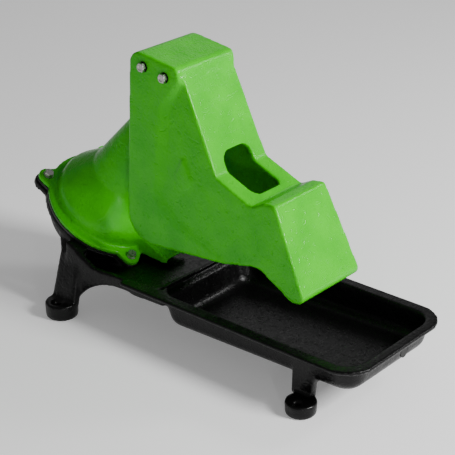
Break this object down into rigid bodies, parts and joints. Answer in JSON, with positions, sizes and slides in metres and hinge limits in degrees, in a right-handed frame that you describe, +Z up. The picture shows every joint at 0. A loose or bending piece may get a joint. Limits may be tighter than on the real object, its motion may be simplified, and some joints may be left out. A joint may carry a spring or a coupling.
{
  "type": "nose-operated pasture pump",
  "caption": "Pasture pump: black cast trough on splayed feet, tilted diaphragm pump and a hollow green push lever that swings back to draw drinking water.",
  "frame": {"origin": "on the ground, under the middle of the casting's length and width", "axes": "+X towards the front of the trough, +Y to the left, +Z up"},
  "size_m": [0.676, 0.3208, 0.4419],
  "materials": {
    "green_enamel": "gloss",
    "black_enamel": "gloss",
    "zinc_steel": "satin",
    "black_rubber": "matte",
    "brass": "satin",
    "spring_steel": "satin"
  },
  "bodies": {
    "casting": {"trough_casting": "black_enamel", "pump_cover": "green_enamel", "diaphragm": "black_rubber", "return_spring": "spring_steel", "spring_seat": "zinc_steel", "inlet_valve_seat": "brass", "inlet_valve_guard": "brass", "cover_bolts": "zinc_steel", "cover_washers": "zinc_steel", "cover_nuts": "zinc_steel", "drain_plug": "black_rubber"},
    "push_lever": {"lever": "green_enamel", "pivot_bolt": "zinc_steel", "pivot_nut": "zinc_steel", "pivot_washers": "zinc_steel", "pivot_tube": "zinc_steel", "pivot_spacers": "zinc_steel", "rod_pin_bolt": "zinc_steel", "rod_pin_nut": "zinc_steel", "rod_pin_washers": "zinc_steel", "rod_pin_tube": "zinc_steel", "rod_pin_spacers": "zinc_steel"},
    "plunger": {"plunger_hub": "brass", "plunger_bolt": "zinc_steel", "plunger_upper_plate": "zinc_steel", "plunger_lower_plate": "zinc_steel", "clevis_pin": "zinc_steel"},
    "rod": {"connecting_rod": "zinc_steel"},
    "delivery_flap": {"delivery_valve": "black_rubber"},
    "inlet_flap": {"inlet_valve_disc": "black_rubber"}
  },
  "joints": [
    {"name": "lever_swing", "type": "hinge", "parent": "casting", "child": "push_lever", "pos_m": [-0.0528, 0, 0.4142], "axis": [0, 1, 0], "range_deg": [0, 8], "stiffness_Nm_per_rad": 4, "springref_deg": -120.32},
    {"name": "plunger_slide", "type": "slide", "parent": "casting", "child": "plunger", "axis": [0.5299, 0, 0.848], "range_m": [0, 0.00572], "deforming": ["return_spring", "diaphragm"]},
    {"name": "rod_tilt", "type": "hinge", "parent": "plunger", "child": "rod", "pos_m": [-0.23063, 0, 0.15363], "axis": [0, 1, 0], "range_deg": [-0.34096, 0]},
    {"name": "delivery_valve_lift", "type": "slide", "parent": "plunger", "child": "delivery_flap", "axis": [0.5299, 0, 0.848], "range_m": [0, 0.0038]},
    {"name": "inlet_valve_lift", "type": "slide", "parent": "casting", "child": "inlet_flap", "axis": [0.5299, 0, 0.848], "range_m": [0, 0.0048]}
  ],
  "couplings": [
    {"joint": "plunger_slide", "follows": "lever_swing", "m_per_rad": 0.040952},
    {"joint": "rod_tilt", "follows": "lever_swing", "ratio": -0.042578}
  ]
}
